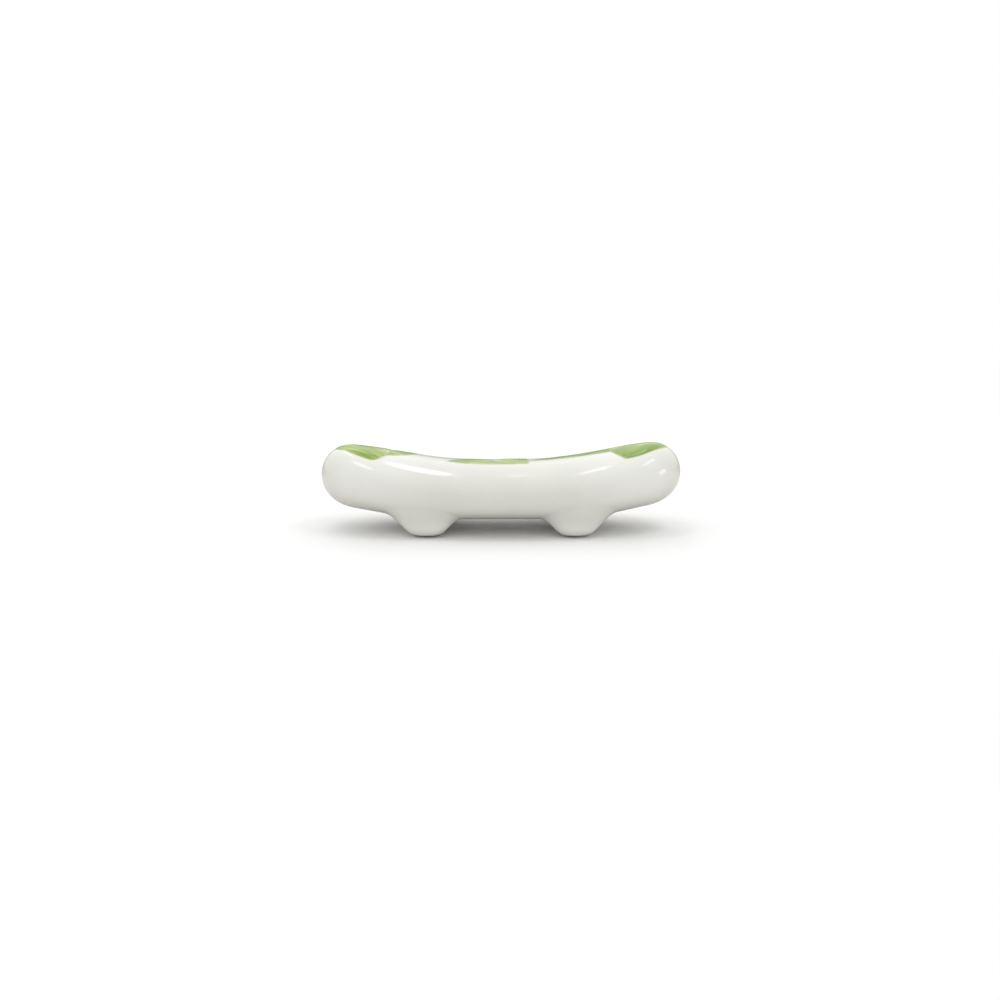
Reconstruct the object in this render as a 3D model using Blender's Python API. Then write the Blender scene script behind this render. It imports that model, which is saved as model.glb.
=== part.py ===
"""Porcelain chopstick rest: a saddle-topped body on four stub feet, with green enamel leaves on its glaze.

Sizes are in metres. +X runs along the rest, +Y to its back and +Z up, and the origin is on the table,
under the middle of the body.
"""

from math import cos, exp, pi, radians, sin, sqrt

import bmesh
import bpy
from mathutils import Vector

# Body
BODY_LENGTH = 0.0700
BODY_DEPTH = 0.0238  # front to back across the saddle
SADDLE_HEIGHT = 0.01285  # table to the lowest point of the saddle
UNDERSIDE_HEIGHT = 0.0024  # table to the middle of the underside
LEFT_TOP_RISE = 0.0037  # climb of the top line from the saddle to the tip
RIGHT_TOP_RISE = 0.0042
LEFT_UNDERSIDE_RISE = 0.0023  # climb of the underside line from the middle to the tip
RIGHT_UNDERSIDE_RISE = 0.0029
END_ROUND_LENGTH = 0.0070  # stretch over which each end rounds off, seen from the front
END_PLAN_LENGTH = 0.0220  # the same, seen from above

# Shape powers: 2 gives an ellipse, and more gives a fuller curve
SECTION_POWER = 2.2
END_ROUND_POWER = 2.4  # how the ends round off, seen from the front
END_PLAN_POWER = 2.0  # how the ends round off, seen from above
SADDLE_POWER = 1.55
UNDERSIDE_POWER = 2.6
FOOT_POWER = 2.5  # outline of the feet, seen from above

# Feet
FOOT_SPACING = 0.0287  # left foot to right foot, centre to centre
FOOT_INSET = 0.0004  # side of the body to the skirt of a foot
FOOT_PARTING = 0.0024  # clear space between a front foot and the rear foot behind it
PAD_LENGTH = 0.0025  # flat pad that stands on the table, along the body
OUTER_SKIRT_LENGTH = 0.0073  # run of the flared skirt from the pad towards the near end of the body
INNER_SKIRT_LENGTH = 0.0058  # run of the flared skirt from the pad towards the middle of the body
SKIRT_DEPTH = 0.0038  # run of the flared skirt from the pad, front to back
SKIRT_EDGE = 0.00015  # thickness left at the edge of the skirt
TOE_BULGE = 0.0024  # swell of the outer side of a foot
TOE_HEIGHT = 0.0018  # table to the fullest part of that swell
LUTING_GAP = 0.0001  # joint line between a foot and the body

# Enamel
ENAMEL_THICKNESS = 0.0002
ENAMEL_GAP = 0.0001  # film of glaze between the enamel and the body

# Leaf outlines: base, tip, and the two bends of each edge between them. Each point is
# (share of the half length from the middle, share of the half depth there), with left and front negative.
LEAF_OUTLINE_SHARES = {
    "left_end_leaf": (
        (-0.76, 0.78), (-0.711, -0.597),
        ((-1.04, 0.56), (-0.90, -0.50)), ((-0.50, 0.62), (-0.645, -0.26)),
    ),
    "left_inner_leaf": (
        (-0.634, -0.19), (-0.42, 0.64),
        ((-0.585, -0.21), (-0.49, 0.06)), ((-0.60, 0.42), (-0.51, 0.74)),
    ),
    "front_leaf": (
        (0.10, -0.069), (-0.292, 0.006),
        ((0.02, -0.144), (-0.17, -0.084)), ((-0.15, -0.044), (-0.06, 0.90)),
    ),
    "centre_leaf": (
        (0.05, 0.66), (0.157, -0.076),
        ((-0.08, 0.096), (-0.02, -0.024)), ((0.18, 0.536), (0.165, 0.166)),
    ),
    "right_inner_leaf": (
        (0.618, -0.165), (0.18, 0.24),
        ((0.55, -0.04), (0.36, 0.13)), ((0.606, 0.50), (0.33, 0.62)),
    ),
    "right_end_leaf": (
        (0.76, 0.78), (0.697, -0.59),
        ((1.05, 0.56), (0.94, -0.60)), ((0.50, 0.62), (0.625, -0.27)),
    ),
}

# Mesh fineness
BODY_RINGS = 40
BODY_SIDES = 48
FOOT_SIDES = 32
SKIRT_RINGS = 10
FOOT_TOP_RINGS = 8
LEAF_ROWS = 14
LEAF_COLUMNS = 6
SMOOTH_ANGLE = radians(45)
SLOPE_STEP = 0.0001  # step for reading the slope of the body

# Finishes
PORCELAIN_COLOUR = (0.84, 0.84, 0.79, 1.0)
PORCELAIN_ROUGHNESS = 0.10
ENAMEL_COLOUR = (0.29, 0.43, 0.12, 1.0)
ENAMEL_ROUGHNESS = 0.18

HALF_LENGTH = BODY_LENGTH / 2


def wave(x):
    """Smooth climb from 0 at the middle of the body to 1 at its tips."""
    return (1 - cos(pi * min(abs(x) / HALF_LENGTH, 1.0))) / 2


def end_round(x, length, power):
    """Share of the full section that is left at x: 1 along the body, 0 at the tips."""
    into_end = min(max(abs(x) - (HALF_LENGTH - length), 0.0) / length, 1.0)
    return sqrt(1.0 - into_end**power)


def section(x):
    """Middle height, half height and half depth of the body at x."""
    top_rise = LEFT_TOP_RISE if x < 0 else RIGHT_TOP_RISE
    underside_rise = LEFT_UNDERSIDE_RISE if x < 0 else RIGHT_UNDERSIDE_RISE
    top = SADDLE_HEIGHT + top_rise * wave(x) ** SADDLE_POWER
    bottom = UNDERSIDE_HEIGHT + underside_rise * wave(x) ** UNDERSIDE_POWER
    half_height = (top - bottom) / 2 * end_round(x, END_ROUND_LENGTH, END_ROUND_POWER)
    half_depth = BODY_DEPTH / 2 * end_round(x, END_PLAN_LENGTH, END_PLAN_POWER)
    return (top + bottom) / 2, half_height, half_depth


def body_height(x, y, side):
    """Height of the body's top (side 1) or underside (side -1) over a point of the table."""
    middle, half_height, half_depth = section(x)
    across = min(abs(y) / half_depth, 1.0)
    return middle + side * half_height * (1 - across**SECTION_POWER) ** (1 / SECTION_POWER)


def body_slope(x, y, side):
    """Slope of the body's top or underside, along the body and front to back."""
    step = SLOPE_STEP
    along = body_height(x + step, y, side) - body_height(x - step, y, side)
    across = body_height(x, y + step, side) - body_height(x, y - step, side)
    return along / (2 * step), across / (2 * step)


def signed_power(value, power):
    return abs(value) ** power * (1 if value >= 0 else -1)


def finish(name, colour, roughness):
    material = bpy.data.materials.new(name)
    material.use_nodes = True
    shader = material.node_tree.nodes["Principled BSDF"]
    shader.inputs["Base Color"].default_value = colour
    shader.inputs["Roughness"].default_value = roughness
    shader.inputs["Metallic"].default_value = 0.0
    material.diffuse_color = colour
    return material


def loft(bm, rings):
    """Joins rings of points with faces and returns the rings as vertices."""
    loops = [[bm.verts.new(point) for point in ring] for ring in rings]
    for near, far in zip(loops, loops[1:]):
        for i in range(len(near)):
            j = (i + 1) % len(near)
            bm.faces.new((near[i], near[j], far[j], far[i]))
    return loops


def fan(bm, loop, point):
    """Closes a ring of vertices with triangles to one point."""
    hub = bm.verts.new(point)
    for i in range(len(loop)):
        bm.faces.new((loop[i], loop[(i + 1) % len(loop)], hub))


def add_object(name, bm, material, parent, location=(0, 0, 0)):
    mesh = bpy.data.meshes.new(name)
    bm.to_mesh(mesh)
    bm.free()
    mesh.shade_smooth()
    mesh.set_sharp_from_angle(angle=SMOOTH_ANGLE)
    mesh.materials.append(material)
    part = bpy.data.objects.new(name, mesh)
    part.location = location
    part.parent = parent
    bpy.context.collection.objects.link(part)
    return part


def body_ring(x):
    """Points around the body at x."""
    middle, half_height, half_depth = section(x)
    points = []
    for i in range(BODY_SIDES):
        angle = 2 * pi * i / BODY_SIDES
        across = signed_power(cos(angle), 2 / SECTION_POWER)
        up = signed_power(sin(angle), 2 / SECTION_POWER)
        points.append((x, half_depth * across, middle + half_height * up))
    return points


def make_body(material, parent):
    bm = bmesh.new()
    places = [HALF_LENGTH * sin(pi / 2 * (2 * i / BODY_RINGS - 1)) for i in range(1, BODY_RINGS)]
    loops = loft(bm, [body_ring(x) for x in places])
    for loop, tip in ((loops[0], -HALF_LENGTH), (loops[-1], HALF_LENGTH)):
        fan(bm, loop, (tip, 0, section(tip)[0]))
    bmesh.ops.recalc_face_normals(bm, faces=bm.faces)
    add_object("body", bm, material, parent)


def foot_sizes(x):
    """Centre distance from the middle line, half depth of the skirt and half depth of the pad."""
    outer = section(x)[2] - FOOT_INSET
    inner = FOOT_PARTING / 2
    half_skirt = (outer - inner) / 2
    return (outer + inner) / 2, half_skirt, half_skirt - SKIRT_DEPTH


def make_foot(name, x_side, y_side, material, parent):
    centre_x = x_side * FOOT_SPACING / 2
    track, half_skirt, half_pad = foot_sizes(centre_x)
    centre_y = y_side * track

    def seat(dx, dy):
        """Height of the foot's top, clear of the body's underside, at a point given from the foot's centre."""
        x = centre_x + dx
        y = centre_y + dy
        slope_x, slope_y = body_slope(x, y, -1)
        return body_height(x, y, -1) - LUTING_GAP * sqrt(1 + slope_x**2 + slope_y**2)

    def ring_plan(spread):
        """Rounded outline around the foot, from the pad (spread 0) to the edge of the skirt (spread 1)."""
        reach_y = half_pad + (half_skirt - half_pad) * spread
        plan = []
        for i in range(FOOT_SIDES):
            turn = 2 * pi * i / FOOT_SIDES
            skirt = OUTER_SKIRT_LENGTH if cos(turn) * x_side > 0 else INNER_SKIRT_LENGTH
            reach_x = PAD_LENGTH / 2 + skirt * spread
            along = signed_power(cos(turn), 2 / FOOT_POWER)
            across = signed_power(sin(turn), 2 / FOOT_POWER)
            plan.append((reach_x * along, reach_y * across))
        return plan

    def skirt_point(dx, dy, climb):
        """Point of the flank, pushed out where the toe swells on the foot's outer side."""
        z = (seat(dx, dy) - SKIRT_EDGE) * climb
        outward = min(max(dy * y_side / half_pad, 0.0), 1.0)
        swell = TOE_BULGE * (1 - climb) * z / TOE_HEIGHT * exp(1 - z / TOE_HEIGHT)
        return dx, dy + y_side * outward * swell, z

    rings = []
    for i in range(SKIRT_RINGS + 1):
        spread = i / SKIRT_RINGS
        climb = (1 - cos(pi * spread)) / 2
        rings.append([skirt_point(dx, dy, climb) for dx, dy in ring_plan(spread)])
    rim = ring_plan(1)
    for i in range(FOOT_TOP_RINGS):
        inward = 1 - i / FOOT_TOP_RINGS
        plan = [(dx * inward, dy * inward) for dx, dy in rim]
        rings.append([(dx, dy, seat(dx, dy)) for dx, dy in plan])

    bm = bmesh.new()
    loops = loft(bm, rings)
    bm.faces.new(loops[0])
    fan(bm, loops[-1], (0, 0, seat(0, 0)))
    bmesh.ops.recalc_face_normals(bm, faces=bm.faces)
    add_object(name, bm, material, parent, (centre_x, centre_y, 0))


def curve_point(t, start, bends, end):
    """Point at t on the cubic curve from start to end."""
    weights = ((1 - t) ** 3, 3 * t * (1 - t) ** 2, 3 * t**2 * (1 - t), t**3)
    return sum((w * Vector(p) for w, p in zip(weights, (start, *bends, end))), Vector((0, 0)))


def enamel_point(share):
    """Point just over the body's top at a place given in shares of the half length and half depth."""
    x = share[0] * HALF_LENGTH
    y = share[1] * section(x)[2]
    slope_x, slope_y = body_slope(x, y, 1)
    outward = Vector((-slope_x, -slope_y, 1)).normalized()
    return Vector((x, y, body_height(x, y, 1))) + outward * ENAMEL_GAP


def make_leaf(name, outline, material, parent):
    base, tip, one_edge, other_edge = outline
    bm = bmesh.new()
    rows = []
    for i in range(1, LEAF_ROWS):
        t = i / LEAF_ROWS
        start = curve_point(t, base, one_edge, tip)
        end = curve_point(t, base, other_edge, tip)
        shares = [start.lerp(end, j / LEAF_COLUMNS) for j in range(LEAF_COLUMNS + 1)]
        rows.append([bm.verts.new(enamel_point(share)) for share in shares])
    for near, far in zip(rows, rows[1:]):
        for j in range(LEAF_COLUMNS):
            bm.faces.new((near[j], near[j + 1], far[j + 1], far[j]))
    for row, end in ((rows[0], base), (rows[-1], tip)):
        point = bm.verts.new(enamel_point(end))
        for j in range(LEAF_COLUMNS):
            bm.faces.new((row[j], row[j + 1], point))
    bmesh.ops.recalc_face_normals(bm, faces=bm.faces)
    bm.normal_update()
    if sum(face.normal.z for face in bm.faces) < 0:
        bmesh.ops.reverse_faces(bm, faces=bm.faces)
    leaf = add_object(name, bm, material, parent)
    film = leaf.modifiers.new("film", "SOLIDIFY")
    film.thickness = ENAMEL_THICKNESS
    film.offset = 1.0


def main():
    for old in list(bpy.data.objects):
        bpy.data.objects.remove(old)
    rest = bpy.data.objects.new("chopstick_rest", None)
    bpy.context.collection.objects.link(rest)
    porcelain = finish("porcelain", PORCELAIN_COLOUR, PORCELAIN_ROUGHNESS)
    enamel = finish("green_enamel", ENAMEL_COLOUR, ENAMEL_ROUGHNESS)

    make_body(porcelain, rest)
    for x_name, x_side in (("left", -1), ("right", 1)):
        for y_name, y_side in (("front", -1), ("rear", 1)):
            make_foot(f"{y_name}_{x_name}_foot", x_side, y_side, porcelain, rest)
    for name, outline in LEAF_OUTLINE_SHARES.items():
        make_leaf(name, outline, enamel, rest)


main()
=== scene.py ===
from collections import namedtuple
from math import cos, pi, radians, sin, tan

import bpy
import numpy as np
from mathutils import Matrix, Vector, noise


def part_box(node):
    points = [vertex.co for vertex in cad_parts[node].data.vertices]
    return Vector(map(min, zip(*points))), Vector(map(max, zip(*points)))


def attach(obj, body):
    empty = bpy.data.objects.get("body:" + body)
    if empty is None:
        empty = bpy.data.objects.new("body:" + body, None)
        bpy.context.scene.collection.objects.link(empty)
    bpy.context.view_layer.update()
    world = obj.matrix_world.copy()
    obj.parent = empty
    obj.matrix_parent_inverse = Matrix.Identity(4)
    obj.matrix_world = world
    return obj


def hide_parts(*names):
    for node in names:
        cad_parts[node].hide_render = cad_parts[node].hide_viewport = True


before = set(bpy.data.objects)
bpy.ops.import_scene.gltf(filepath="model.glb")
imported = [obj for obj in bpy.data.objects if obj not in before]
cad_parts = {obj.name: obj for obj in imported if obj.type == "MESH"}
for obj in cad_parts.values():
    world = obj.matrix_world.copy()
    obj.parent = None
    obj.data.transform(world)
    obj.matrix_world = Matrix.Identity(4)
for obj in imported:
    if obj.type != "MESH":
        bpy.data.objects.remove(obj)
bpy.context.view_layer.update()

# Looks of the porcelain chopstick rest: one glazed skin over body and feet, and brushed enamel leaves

# Body, as in the solids
BODY_LENGTH = (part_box("body")[1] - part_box("body")[0]).x
HALF_LENGTH = BODY_LENGTH / 2
BODY_DEPTH = (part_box("body")[1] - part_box("body")[0]).y
SADDLE_HEIGHT = 0.01285
UNDERSIDE_HEIGHT = 0.0024
LEFT_TOP_RISE = 0.0037
RIGHT_TOP_RISE = 0.0042
LEFT_UNDERSIDE_RISE = 0.0023
RIGHT_UNDERSIDE_RISE = 0.0029
END_ROUND_LENGTH = 0.0070
END_PLAN_LENGTH = 0.0220
SECTION_POWER = 2.2
END_ROUND_POWER = 2.4
END_PLAN_POWER = 2.0
SADDLE_POWER = 1.55
UNDERSIDE_POWER = 2.6

# Feet, as in the solids
FEET = ("front_left_foot", "front_right_foot", "rear_left_foot", "rear_right_foot")
FOOT_POWER = 2.5
FOOT_SPACING = 0.0287
FOOT_INSET = 0.0004
FOOT_PARTING = 0.0024
PAD_LENGTH = 0.0025
OUTER_SKIRT_LENGTH = 0.0073
INNER_SKIRT_LENGTH = 0.0058
SKIRT_DEPTH = 0.0038
TOE_BULGE = 0.0024
TOE_HEIGHT = 0.0018

# Leaves, near those of the solids, with neighbours run together as brush strokes do
LEAF_OUTLINE_SHARES = {  # base, tip and the two bends of each edge, in shares of the half length and depth
    "left_inner_leaf": (
        (-0.68, -0.33), (-0.43, 0.54),
        ((-0.61, -0.21), (-0.47, 0.06)), ((-0.62, 0.50), (-0.53, 0.78)),
    ),
    "right_inner_leaf": (
        (0.77, 0.02), (0.14, 0.06),
        ((0.64, -0.24), (0.47, 0.28)), ((0.62, 0.76), (0.33, 0.70)),
    ),
    "front_leaf": (
        (0.14, -0.06), (-0.31, -0.01),
        ((0.025, -0.16), (-0.20, -0.14)), ((-0.15, -0.02), (-0.06, 0.90)),
    ),
    "centre_leaf": (
        (0.05, 0.66), (0.155, -0.09),
        ((-0.08, 0.095), (-0.02, -0.07)), ((0.18, 0.536), (0.165, 0.166)),
    ),
    "left_end_leaf": (
        (-0.76, 0.78), (-0.712, -0.58),
        ((-1.03, 0.56), (-0.95, -0.58)), ((-0.50, 0.62), (-0.625, -0.42)),
    ),
    "right_end_leaf": (
        (0.76, 0.78), (0.69, -0.56),
        ((1.03, 0.54), (0.955, -0.77)), ((0.50, 0.62), (0.605, -0.16)),
    ),
}
STROKES = {  # the brush's turn from the length of the rest, and how deep its tone begins and ends
    "left_inner_leaf": (radians(-20), 0.09, 0.09),
    "right_inner_leaf": (radians(15), 0.07, 0.07),
    "front_leaf": (radians(5), 0.04, 0.09),
    "centre_leaf": (radians(-35), -0.08, 0.0),
    "left_end_leaf": (radians(-28), 0.02, 0.02),
    "right_end_leaf": (radians(28), -0.10, 0.22),
}

# Skin
SKIN_RINGS = 320
TOP_SIDES = 100  # rows over the top, from side to side
BULGE_SIDES = 8  # rows from a side to the skirt of the feet
FLANK_SIDES = 40  # rows down the outer flank of the feet
BOTTOM_SIDES = 48  # rows across the underside between the flanks
FLANK_START = radians(15)  # turn from the side at which the outer flank begins
FLANK_END = radians(52)
UNEVENNESS = 0.00003  # how far the hand-finished surface swells and sinks
UNEVEN_SIZE = 0.0090  # width of one swell
HALVINGS = 24  # steps that close in on a skirt's spread

# Enamel film
LEAF_ROWS = 72
LEAF_COLUMNS = 28
FILM_HEIGHT = 0.00006  # enamel over the glaze
FILM_STEP = 0.000006  # each stroke lies this much higher than the one before
FILM_ROOT = 0.00004  # enamel sunk in the glaze
FILM_SHOULDER = 0.12  # share of the width over which the edge rounds
SLOPE_STEP = 0.00005

# Porcelain finish
WARM_WHITE = (0.805, 0.802, 0.730, 1)
COOL_WHITE = (0.775, 0.778, 0.718, 1)
PAINTED_LIGHT_WHITE = (0.900, 0.900, 0.855, 1)  # painted light: the tops of the raised ends are coloured whiter where the light falls on them
POOLED_GLAZE = (0.760, 0.766, 0.700, 1)
BARE_CLAY = (0.700, 0.650, 0.560, 1)
MOTTLE_SCALE = 130
MOTTLE_DETAIL = 3
MOTTLE_LEVELS = (0.35, 0.65)
GLAZE_SCALE = 520
GLAZE_DETAIL = 2
GLAZE_LEVELS = (0.3, 0.7)
PEEL_SCALE = 900
PEEL_DETAIL = 1
PEEL_DEPTH = 0.000004
PAINTED_LIGHT_REACH = (0.010, 0.027)  # from the middle of the length
PAINTED_LIGHT_FADE_REACH = (0.0295, 0.0360)  # the painted light fades out again around the tips, which stay darker as painted shade
PAINTED_LIGHT_HEIGHTS = (0.003, 0.013)
TOE_PAINTED_LIGHT_HEIGHTS = (0.0016, 0.0038)  # painted light on the toes of the feet too, where their bulge catches the light
TOE_PAINTED_LIGHT_SHARE = 0.8
GLAZE_ROUGHNESS = (0.07, 0.115)
CLAY_ROUGHNESS = 0.75
POOL_SHARE = 0.5
PAD_GLAZE_LINE = (0.00012, 0.00030)  # heights between which the glaze begins on the feet

# Enamel finish
DEEP_GREEN = (0.180, 0.315, 0.012, 1)
LEAF_GREEN = (0.290, 0.420, 0.050, 1)
LIGHT_GREEN = (0.450, 0.560, 0.170, 1)
PALE_GREEN = (0.620, 0.695, 0.330, 1)
WASH_GREEN = (0.740, 0.790, 0.480, 1)
FLECK_OLIVE = (0.130, 0.140, 0.030, 1)
STREAK_TONES = ((0.34, DEEP_GREEN), (0.46, LEAF_GREEN), (0.56, LIGHT_GREEN), (0.66, PALE_GREEN))
STREAK_SCALE = (130, 480, 1)  # along the stroke, across it, and per leaf
STREAK_LEVELS = (0.3, 0.7)
BRUSH_DETAIL = 4
LOAD_RANGE = (0.45, 0.80)  # shares of a leaf's length between which the tone goes from first to last
PAINTED_RIM_SHADE = 0.16  # painted shade: all tones are this much deeper toward the back of the rest, darkening the leaves along the top outline
PAINTED_RIM_SHADE_RANGE = (0.10, 0.36)  # shares of the half depth
FLECK_SCALE = (900, 1900, 1)
FLECK_LEVELS = (0.67, 0.76)
FLECK_SHARE = 0.6
WASH_WIDTH = 0.0006  # the enamel thins to a wash over this distance from its edge
WASH_SHARE = 0.75
STREAK_DEPTH = 0.000012
ENAMEL_ROUGHNESS = (0.16, 0.30)
ENAMEL_SHINE = 0.30  # specular level

# View
VIEW_DISTANCE = 1.0
VIEW_ELEVATION = radians(13)
VIEW_WIDTH = 0.1955  # width of the picture where the rest stands
VIEW_AIM = Vector((-0.00018, 0, 0.0054))
SENSOR_WIDTH = 36.0

# Stage: a floor that looks white, in a light tent that differs in brightness from side to side
WHITE = (1, 1, 1, 1)
FLOOR_SIZE = 40.0
FLOOR_PAINTED_SHADE = (0.55, 0.535, 0.52, 1)  # floor as the rest sees it: darker below it as painted shade, then around it and far behind it
FLOOR_AROUND = (0.84, 0.83, 0.82, 1)
FLOOR_BEHIND = (0.34, 0.34, 0.34, 1)
UNDER_REACH = (0.006, 0.015)  # from the middle, where the floor goes from below to around
UNDER_STRETCH = (1 / 5, 1, 1)  # that reach is five times as far lengthwise
BEHIND_REACH = (0.030, 0.055)
WHITE_REACH = (0.09, 0.20)  # from the middle, where the lit floor turns plain white to the eye
WHITE_STRETCH = (1, 1, 1)
TENT_FRONT = 0.55
TENT_LEFT = 1.02
TENT_RIGHT = 0.64
TENT_BACK = 1.26
TENT_EDGE_FRONT = 2.1  # share of that light at the tent's lower edge
TENT_EDGE_SIDE = 1.05
TENT_EDGE_BACK = 0.33
TENT_EDGE_HEIGHT = radians(17)

# Softboxes, aimed at places along the rest, turned from straight behind to the right and raised from level
Softbox = namedtuple("Softbox", "place distance turn rise wide tall brightness")
SOFTBOXES = {
    "back_softbox_right": Softbox(-0.0146, 0.21, radians(10), radians(45), radians(4.2), radians(16), 3.8),
    "back_softbox_left": Softbox(0.0200, 0.9, radians(-18.3), radians(46), radians(4.6), radians(32), 3.1),
    "left_softbox": Softbox(-0.0280, 0.5, radians(-72), radians(79), radians(17), radians(14), 3.0),
    "right_softbox": Softbox(0.0290, 0.8, radians(99), radians(68), radians(20), radians(15), 2.9),
    "right_reflector": Softbox(0.0315, 0.4, radians(101), radians(5), radians(16), radians(16), 3.6),
}
SOFTBOX_AIM = (-0.004, 0.012)  # depth and height of those places


def wave(x):
    """Smooth climb from 0 at the middle of the body to 1 at its tips."""
    return (1 - np.cos(pi * np.minimum(np.abs(x) / HALF_LENGTH, 1.0))) / 2


def end_round(x, length, power):
    """Share of the full section that is left at each x: 1 along the body, 0 at the tips."""
    into_end = np.clip((np.abs(x) - (HALF_LENGTH - length)) / length, 0.0, 1.0)
    return np.sqrt(1.0 - into_end**power)


def section(x):
    """Middle height, half height and half depth of the body at each x."""
    top_rise = np.where(x < 0, LEFT_TOP_RISE, RIGHT_TOP_RISE)
    underside_rise = np.where(x < 0, LEFT_UNDERSIDE_RISE, RIGHT_UNDERSIDE_RISE)
    top = SADDLE_HEIGHT + top_rise * wave(x) ** SADDLE_POWER
    bottom = UNDERSIDE_HEIGHT + underside_rise * wave(x) ** UNDERSIDE_POWER
    half_height = (top - bottom) / 2 * end_round(x, END_ROUND_LENGTH, END_ROUND_POWER)
    half_depth = BODY_DEPTH / 2 * end_round(x, END_PLAN_LENGTH, END_PLAN_POWER)
    return (top + bottom) / 2, half_height, half_depth


def signed_power(value, power):
    return np.sign(value) * np.abs(value) ** power


def foot_sizes(centre_x):
    """Centre distance from the middle line, half depth of the skirt and half depth of the pad."""
    outer = float(section(np.array(centre_x))[2]) - FOOT_INSET
    inner = FOOT_PARTING / 2
    half_skirt = (outer - inner) / 2
    return (outer + inner) / 2, half_skirt, half_skirt - SKIRT_DEPTH


def draw_feet(x, y, z):
    """Draws the underside into the feet. Returns y, z and a climb from 0 on a pad to 1 off the feet."""
    all_climb = np.ones_like(x)
    new_y = y
    for x_side in (-1, 1):
        centre_x = x_side * FOOT_SPACING / 2
        track, half_skirt, half_pad = foot_sizes(centre_x)
        dx = x - centre_x
        skirt = np.where(dx * x_side > 0, OUTER_SKIRT_LENGTH, INNER_SKIRT_LENGTH)
        for y_side in (-1, 1):
            dy = y - y_side * track
            low, high = np.zeros_like(x), np.ones_like(x)
            for _ in range(HALVINGS):
                spread = (low + high) / 2
                along = np.abs(dx / (PAD_LENGTH / 2 + skirt * spread))
                across = np.abs(dy / (half_pad + (half_skirt - half_pad) * spread))
                outside = along**FOOT_POWER + across**FOOT_POWER > 1
                low = np.where(outside, spread, low)
                high = np.where(outside, high, spread)
            climb = (1 - np.cos(pi * (low + high) / 2)) / 2
            height = z * climb
            outward = np.clip(dy * y_side / half_pad, 0.0, 1.0)
            swell = TOE_BULGE * (1 - climb) * height / TOE_HEIGHT * np.exp(1 - height / TOE_HEIGHT)
            new_y = new_y + y_side * outward * swell
            all_climb = all_climb * climb
    return new_y, z * all_climb, all_climb


def unevenness(points):
    """Small swells of a surface finished by hand, at each point."""
    return np.array([noise.noise(Vector(p) / UNEVEN_SIZE) for p in points]) * UNEVENNESS


def new_piece(name, points, faces, material, nodes):
    mesh = bpy.data.meshes.new(name)
    mesh.from_pydata(points.tolist(), [], faces)
    mesh.validate()
    mesh.shade_smooth()
    mesh.materials.append(material)
    piece = bpy.data.objects.new(name, mesh)
    bpy.context.scene.collection.objects.link(piece)
    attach(piece, "root")
    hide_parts(*nodes)
    return piece


def store(piece, name, values):
    """Keeps a value, or a vector, for every point of the piece's mesh."""
    kind, field = ("FLOAT", "value") if values.ndim == 1 else ("FLOAT_VECTOR", "vector")
    piece.data.attributes.new(name, kind, "POINT").data.foreach_set(field, values.ravel())


def skin_turns():
    """Turns around the section, over the top and back below, closer on the outer flanks of the feet."""
    stretches = (
        (0, pi, TOP_SIDES),
        (pi, pi + FLANK_START, BULGE_SIDES),
        (pi + FLANK_START, pi + FLANK_END, FLANK_SIDES),
        (pi + FLANK_END, 2 * pi - FLANK_END, BOTTOM_SIDES),
        (2 * pi - FLANK_END, 2 * pi - FLANK_START, FLANK_SIDES),
        (2 * pi - FLANK_START, 2 * pi, BULGE_SIDES),
    )
    turns = [np.linspace(start, end, count, endpoint=False) for start, end, count in stretches]
    return np.concatenate(turns)


def make_skin(material):
    """Glazed porcelain over body and feet, in one closed mesh."""
    places = HALF_LENGTH * np.sin(pi / 2 * (2 * np.arange(1, SKIN_RINGS) / SKIN_RINGS - 1))
    turns = skin_turns()
    rings, sides = len(places), len(turns)
    x, turn = np.meshgrid(places, turns, indexing="ij")
    middle, half_height, half_depth = section(x)
    y = half_depth * signed_power(np.cos(turn), 2 / SECTION_POWER)
    z = middle + half_height * signed_power(np.sin(turn), 2 / SECTION_POWER)
    foot_y, foot_z, foot_climb = draw_feet(x, y, z)
    below = turn > pi
    y = np.where(below, foot_y, y)
    z = np.where(below, foot_z, z)
    climb = np.where(below, foot_climb, 1.0)
    tips = np.array([-HALF_LENGTH, HALF_LENGTH])
    tip_points = np.stack([tips, np.zeros(2), section(tips)[0]], axis=1)
    points = np.concatenate([np.stack([x, y, z], axis=-1).reshape(-1, 3), tip_points])

    def index(ring, side):
        return ring * sides + side % sides

    faces = [
        (index(i, j), index(i, j + 1), index(i + 1, j + 1), index(i + 1, j))
        for i in range(rings - 1)
        for j in range(sides)
    ]
    first_tip, last_tip = rings * sides, rings * sides + 1
    faces += [(first_tip, index(0, j + 1), index(0, j)) for j in range(sides)]
    faces += [(last_tip, index(rings - 1, j), index(rings - 1, j + 1)) for j in range(sides)]
    piece = new_piece("glazed_porcelain", points, faces, material, ["body", *FEET])
    normals = np.array([v.normal for v in piece.data.vertices])
    climb = np.append(climb.ravel(), [1.0, 1.0])
    points += normals * (climb * unevenness(points))[:, None]
    piece.data.vertices.foreach_set("co", points.ravel())
    store(piece, "pool", np.sin(pi * climb) ** 2)
    piece.data.update()


def top_height(x, y):
    """Height of the upper side of the body."""
    middle, half_height, half_depth = section(x)
    across = np.minimum(np.abs(y) / half_depth, 1.0)
    return middle + half_height * (1 - across**SECTION_POWER) ** (1 / SECTION_POWER)


def curve(t, start, bends, end):
    """Points along a cubic curve that the two bends pull toward them."""
    weights = ((1 - t) ** 3, 3 * t * (1 - t) ** 2, 3 * t**2 * (1 - t), t**3)
    return sum(w[:, None] * np.array(p) for w, p in zip(weights, (start, *bends, end)))


def distance_along(points, axis):
    """Distance of every point from the start of its row or column."""
    steps = np.linalg.norm(np.diff(points, axis=axis), axis=-1)
    start = np.zeros_like(np.take(steps, [0], axis=axis))
    return np.concatenate([start, np.cumsum(steps, axis=axis)], axis=axis)


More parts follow.
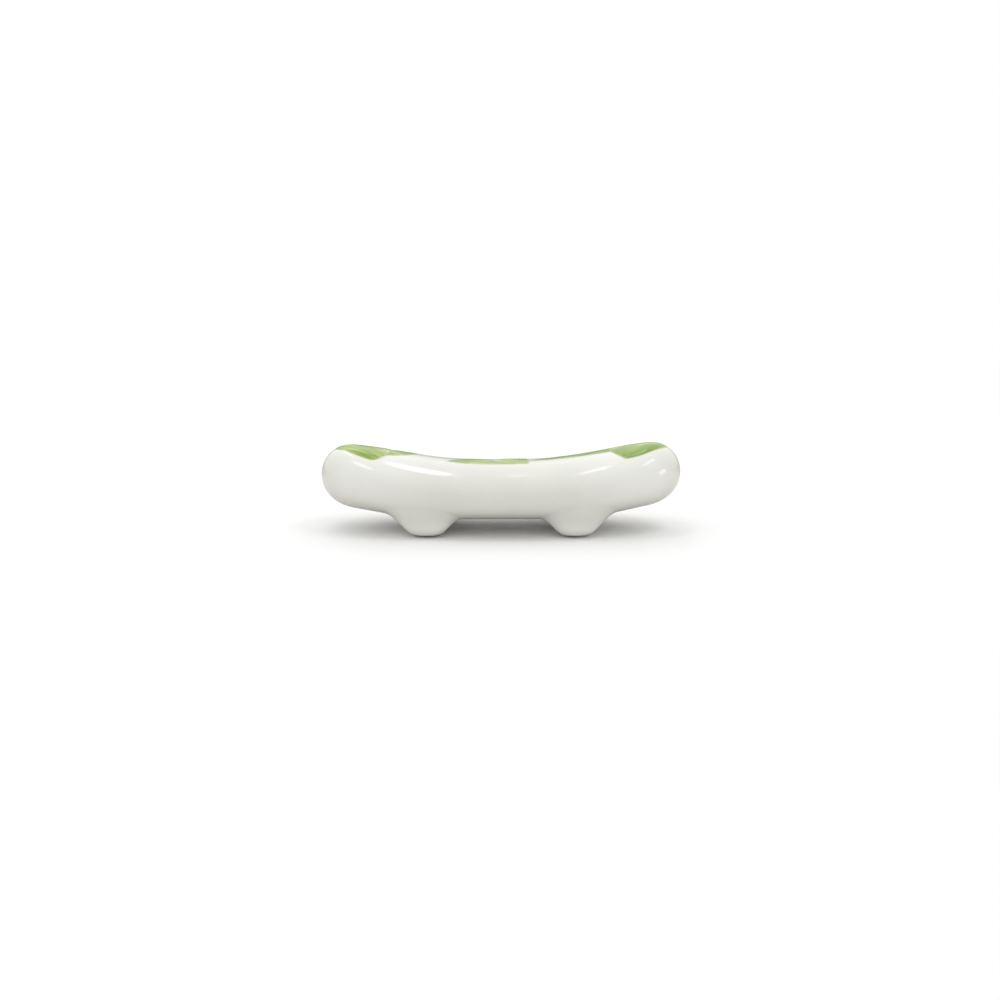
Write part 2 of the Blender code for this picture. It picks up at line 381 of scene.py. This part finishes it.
def film_order(above, below):
    """Values of a film's upper and lower layer in the order of its mesh's points."""
    layers = [grid[1:LEAF_ROWS].reshape(-1, *grid.shape[2:]) for grid in (above, below)]
    ends = [0, -1]
    return np.concatenate([*layers, above[ends, 0], below[ends, 0]])


def film_faces():
    """Upper and lower layer of a film, its two sides and its pointed ends."""
    columns = LEAF_COLUMNS + 1
    layer = (LEAF_ROWS - 1) * columns
    up = [2 * layer, 2 * layer + 1]
    down = [2 * layer + 2, 2 * layer + 3]

    def at(row, column):
        return row * columns + column

    last = LEAF_ROWS - 2
    faces = []
    for i in range(last):
        for j in range(LEAF_COLUMNS):
            corners = (at(i, j), at(i, j + 1), at(i + 1, j + 1), at(i + 1, j))
            faces.append(corners)
            faces.append(tuple(layer + k for k in reversed(corners)))
        for j in (0, LEAF_COLUMNS):
            side = (at(i, j), at(i + 1, j), layer + at(i + 1, j), layer + at(i, j))
            faces.append(side if j == 0 else side[::-1])
    for row, k in ((0, 0), (last, 1)):
        for j in range(LEAF_COLUMNS):
            cap = (at(row, j), up[k], at(row, j + 1))
            cap = cap if k == 0 else cap[::-1]
            faces.append(cap)
            faces.append((layer + cap[2], down[k], layer + cap[0]))
        for j in (0, LEAF_COLUMNS):
            side = (at(row, j), layer + at(row, j), down[k], up[k])
            faces.append(side if (j == 0) == (k == 0) else side[::-1])
    return faces


def make_leaf(name, order, material):
    """Thin film of enamel with round shoulders, closed below."""
    base, tip, one_edge, other_edge = LEAF_OUTLINE_SHARES[name]
    t = (1 - np.cos(pi * np.linspace(0, 1, LEAF_ROWS + 1))) / 2
    s = (1 - np.cos(pi * np.linspace(0, 1, LEAF_COLUMNS + 1))) / 2
    start = curve(t, base, one_edge, tip)
    end = curve(t, base, other_edge, tip)
    share = start[:, None] * (1 - s)[None, :, None] + end[:, None] * s[None, :, None]
    x = share[..., 0] * HALF_LENGTH
    y = share[..., 1] * section(x)[2]
    slope_x = (top_height(x + SLOPE_STEP, y) - top_height(x - SLOPE_STEP, y)) / (2 * SLOPE_STEP)
    slope_y = (top_height(x, y + SLOPE_STEP) - top_height(x, y - SLOPE_STEP)) / (2 * SLOPE_STEP)
    outward = np.stack([-slope_x, -slope_y, np.ones_like(x)], axis=-1)
    outward /= np.linalg.norm(outward, axis=-1, keepdims=True)
    ground = np.stack([x, y, top_height(x, y)], axis=-1)
    uneven = unevenness(ground.reshape(-1, 3)).reshape(x.shape)
    from_edge = np.minimum(1.0, np.minimum(s, 1 - s)[None, :] / FILM_SHOULDER) * np.ones_like(x)
    from_end = np.minimum(1.0, np.minimum(t, 1 - t)[:, None] / FILM_SHOULDER)
    shoulder = np.sqrt(1 - (1 - from_edge * from_end) ** 2)
    film = FILM_HEIGHT + FILM_STEP * order
    upper = ground + outward * (uneven + film * shoulder)[..., None]
    lower = ground + outward * (uneven - FILM_ROOT)[..., None]
    points = film_order(upper, lower)
    piece = new_piece(f"{name}_enamel", points, film_faces(), material, [name])

    turn, first_depth, last_depth = STROKES[name]
    along = x * cos(turn) + y * sin(turn)
    across = y * cos(turn) - x * sin(turn)
    stroke = np.stack([along, across, np.full_like(x, order)], axis=-1)
    in_row, in_column = distance_along(ground, 1), distance_along(ground, 0)
    to_side = np.minimum(in_row, in_row[:, -1:] - in_row)
    to_end = np.minimum(in_column, in_column[-1:] - in_column)
    inside = np.clip(np.minimum(to_side, to_end) / WASH_WIDTH, 0.0, 1.0)
    depth = np.interp(t, LOAD_RANGE, (first_depth, last_depth))[:, None]
    # Painted shade: every leaf deepens toward the back of the rest, along its top outline
    depth = depth + np.interp(share[..., 1], PAINTED_RIM_SHADE_RANGE, (0.0, PAINTED_RIM_SHADE))
    for attribute, values in {"stroke": stroke, "inside": inside, "depth": depth}.items():
        store(piece, attribute, film_order(values, values))


def new_material(name):
    material = bpy.data.materials.new(name)
    material.use_nodes = True
    tree = material.node_tree
    return material, tree, tree.nodes["Principled BSDF"]


def plug(tree, value, socket):
    """Gives an input a plain value or the output of another node."""
    if isinstance(value, bpy.types.NodeSocket):
        tree.links.new(value, socket)
    else:
        socket.default_value = value


def add(tree, kind, inputs, **settings):
    """New node with its named inputs plugged in. Returns its outputs."""
    node = tree.nodes.new(f"ShaderNode{kind}")
    for name, value in settings.items():
        setattr(node, name, value)
    for name, value in inputs.items():
        plug(tree, value, node.inputs[name])
    return node.outputs


def ramp(tree, value, low, high, to_low=0.0, to_high=1.0, kind="SMOOTHSTEP"):
    inputs = {"Value": value, "From Min": low, "From Max": high, "To Min": to_low, "To Max": to_high}
    return add(tree, "MapRange", inputs, interpolation_type=kind)["Result"]


def times(tree, first, second):
    return add(tree, "Math", {0: first, 1: second}, operation="MULTIPLY")["Value"]


def blend(tree, share, first, second):
    """Goes from the first colour to the second with the share."""
    node = tree.nodes.new("ShaderNodeMix")
    node.data_type = "RGBA"
    tree.links.new(share, node.inputs["Factor"])
    colours = [socket for socket in node.inputs if socket.type == "RGBA"]
    for socket, value in zip(colours, (first, second)):
        plug(tree, value, socket)
    return next(socket for socket in node.outputs if socket.type == "RGBA")


def cloud(tree, place, scale, detail):
    return add(tree, "TexNoise", {"Vector": place, "Scale": scale, "Detail": detail})["Fac"]


def make_porcelain():
    material, tree, shader = new_material("glazed_porcelain")
    place = add(tree, "TexCoord", {})["Object"]
    mottle = ramp(tree, cloud(tree, place, MOTTLE_SCALE, MOTTLE_DETAIL), *MOTTLE_LEVELS)
    colour = blend(tree, mottle, WARM_WHITE, COOL_WHITE)
    axes = add(tree, "SeparateXYZ", {"Vector": place})
    from_middle = add(tree, "Math", {0: axes["X"]}, operation="ABSOLUTE")["Value"]
    # Painted light: whiter colour on the tops of the raised ends, fading out at the tips, and on the toes
    # of the feet
    thin = times(tree, ramp(tree, from_middle, *PAINTED_LIGHT_REACH), ramp(tree, axes["Z"], *PAINTED_LIGHT_HEIGHTS))
    thin = times(tree, thin, ramp(tree, from_middle, *PAINTED_LIGHT_FADE_REACH, 1.0, 0.0))
    toe = ramp(tree, axes["Z"], *TOE_PAINTED_LIGHT_HEIGHTS, TOE_PAINTED_LIGHT_SHARE, 0.0)
    thin = add(tree, "Math", {0: thin, 1: toe}, operation="MAXIMUM")["Value"]
    colour = blend(tree, thin, colour, PAINTED_LIGHT_WHITE)
    pool = add(tree, "Attribute", {}, attribute_name="pool")["Fac"]
    colour = blend(tree, times(tree, pool, POOL_SHARE), colour, POOLED_GLAZE)
    bare = ramp(tree, axes["Z"], *PAD_GLAZE_LINE, 1.0, 0.0)
    tree.links.new(blend(tree, bare, colour, BARE_CLAY), shader.inputs["Base Color"])
    glaze = ramp(tree, cloud(tree, place, GLAZE_SCALE, GLAZE_DETAIL), *GLAZE_LEVELS, *GLAZE_ROUGHNESS)
    clay = times(tree, bare, CLAY_ROUGHNESS)
    roughness = add(tree, "Math", {0: glaze, 1: clay}, operation="MAXIMUM")["Value"]
    tree.links.new(roughness, shader.inputs["Roughness"])
    peel = cloud(tree, place, PEEL_SCALE, PEEL_DETAIL)
    bump = add(tree, "Bump", {"Height": peel, "Distance": PEEL_DEPTH})
    tree.links.new(bump["Normal"], shader.inputs["Normal"])
    return material


def make_enamel():
    material, tree, shader = new_material("green_enamel")
    stroke = add(tree, "Attribute", {}, attribute_name="stroke")["Vector"]
    inside = add(tree, "Attribute", {}, attribute_name="inside")["Fac"]

    def brushed(scale):
        stretched = add(tree, "VectorMath", {0: stroke, 1: scale}, operation="MULTIPLY")["Vector"]
        return cloud(tree, stretched, 1.0, BRUSH_DETAIL)

    streak = brushed(STREAK_SCALE)
    depth = add(tree, "Attribute", {}, attribute_name="depth")["Fac"]
    deepened = add(tree, "Math", {0: streak, 1: depth}, operation="SUBTRACT")["Value"]
    tones = tree.nodes.new("ShaderNodeValToRGB")
    tree.links.new(deepened, tones.inputs["Fac"])
    stops = tones.color_ramp.elements
    while len(stops) < len(STREAK_TONES):
        stops.new(1.0)
    for stop, (position, colour) in zip(stops, STREAK_TONES):
        stop.position = position
        stop.color = colour
    fleck = ramp(tree, brushed(FLECK_SCALE), *FLECK_LEVELS, 0.0, FLECK_SHARE)
    colour = blend(tree, fleck, tones.outputs["Color"], FLECK_OLIVE)
    thin = ramp(tree, inside, 0.0, 1.0, WASH_SHARE, 0.0)
    tree.links.new(blend(tree, thin, colour, WASH_GREEN), shader.inputs["Base Color"])
    roughness = ramp(tree, streak, *STREAK_LEVELS, *ENAMEL_ROUGHNESS)
    tree.links.new(roughness, shader.inputs["Roughness"])
    shader.inputs["Specular IOR Level"].default_value = ENAMEL_SHINE
    bump = add(tree, "Bump", {"Height": streak, "Distance": STREAK_DEPTH})
    tree.links.new(bump["Normal"], shader.inputs["Normal"])
    return material


def make_camera():
    data = bpy.data.cameras.new("camera")
    data.sensor_width = SENSOR_WIDTH
    data.lens = SENSOR_WIDTH * VIEW_DISTANCE / VIEW_WIDTH
    camera = bpy.data.objects.new("camera", data)
    back = Vector((0, -cos(VIEW_ELEVATION), sin(VIEW_ELEVATION)))
    camera.location = VIEW_AIM + back * VIEW_DISTANCE
    camera.rotation_euler = (-back).to_track_quat("-Z", "Y").to_euler()
    bpy.context.scene.collection.objects.link(camera)
    bpy.context.scene.camera = camera


def make_floor():
    mesh = bpy.data.meshes.new("floor")
    half = FLOOR_SIZE / 2
    corners = [(-half, -half, 0), (half, -half, 0), (half, half, 0), (-half, half, 0)]
    mesh.from_pydata(corners, [], [(0, 1, 2, 3)])
    floor = bpy.data.objects.new("floor", mesh)
    bpy.context.scene.collection.objects.link(floor)
    material, tree, shader = new_material("floor")
    seen = add(tree, "LightPath", {})["Is Camera Ray"]
    place = add(tree, "TexCoord", {})["Object"]

    def distance(stretch):
        stretched = add(tree, "VectorMath", {0: place, 1: stretch}, operation="MULTIPLY")["Vector"]
        return add(tree, "VectorMath", {0: stretched}, operation="LENGTH")["Value"]

    # Painted shade: the floor is darker below the rest, for the light it throws back onto it
    around = ramp(tree, distance(UNDER_STRETCH), *UNDER_REACH)
    bounce = blend(tree, around, FLOOR_PAINTED_SHADE, FLOOR_AROUND)
    behind = ramp(tree, add(tree, "SeparateXYZ", {"Vector": place})["Y"], *BEHIND_REACH)
    bounce = blend(tree, behind, bounce, FLOOR_BEHIND)
    tree.links.new(blend(tree, seen, bounce, WHITE), shader.inputs["Base Color"])
    shader.inputs["Roughness"].default_value = 1.0
    shader.inputs["Specular IOR Level"].default_value = 0.0
    far = ramp(tree, distance(WHITE_STRETCH), *WHITE_REACH)
    white = add(tree, "Emission", {})
    mix = tree.nodes.new("ShaderNodeMixShader")
    tree.links.new(times(tree, far, seen), mix.inputs["Fac"])
    tree.links.new(shader.outputs[0], mix.inputs[1])
    tree.links.new(white[0], mix.inputs[2])
    tree.links.new(mix.outputs[0], tree.nodes["Material Output"].inputs["Surface"])
    mesh.materials.append(material)


def make_world():
    world = bpy.data.worlds.new("studio")
    bpy.context.scene.world = world
    world.use_nodes = True
    tree = world.node_tree
    direction = add(tree, "SeparateXYZ", {"Vector": add(tree, "TexCoord", {})["Generated"]})
    sideways = times(tree, direction["X"], direction["X"])
    side = ramp(tree, direction["X"], -1, 1, TENT_LEFT, TENT_RIGHT, "LINEAR")
    light = ramp(tree, direction["Y"], -1, 1, TENT_FRONT, TENT_BACK, "LINEAR")
    light = ramp(tree, sideways, 0, 1, light, side, "LINEAR")
    edge = ramp(tree, direction["Y"], -1, 1, TENT_EDGE_FRONT, TENT_EDGE_BACK, "LINEAR")
    edge = ramp(tree, sideways, 0, 1, edge, TENT_EDGE_SIDE, "LINEAR")
    rise = ramp(tree, direction["Z"], 0, sin(TENT_EDGE_HEIGHT))
    share = ramp(tree, rise, 0, 1, edge, 1.0, "LINEAR")
    seen = add(tree, "LightPath", {})["Is Camera Ray"]
    strength = ramp(tree, seen, 0, 1, times(tree, light, share), 1.0, "LINEAR")
    background = tree.nodes["Background"]
    background.inputs["Color"].default_value = WHITE
    tree.links.new(strength, background.inputs["Strength"])


def make_softboxes():
    for name, box in SOFTBOXES.items():
        data = bpy.data.lights.new(name, "AREA")
        data.shape = "ELLIPSE"
        data.size = 2 * box.distance * tan(box.wide / 2)
        data.size_y = 2 * box.distance * tan(box.tall / 2)
        area = pi / 4 * data.size * data.size_y
        data.energy = box.brightness * pi * area
        lamp = bpy.data.objects.new(name, data)
        level = cos(box.rise)
        toward = Vector((level * sin(box.turn), level * cos(box.turn), sin(box.rise)))
        lamp.location = Vector((box.place, *SOFTBOX_AIM)) + toward * box.distance
        lamp.rotation_euler = (-toward).to_track_quat("-Z", "Y").to_euler()
        lamp.visible_camera = False
        bpy.context.scene.collection.objects.link(lamp)


make_camera()
make_world()
make_floor()
make_softboxes()
porcelain = make_porcelain()
enamel = make_enamel()
make_skin(porcelain)
for leaf_order, leaf_name in enumerate(LEAF_OUTLINE_SHARES):
    make_leaf(leaf_name, leaf_order, enamel)

bpy.context.scene.view_settings.view_transform = "Standard"
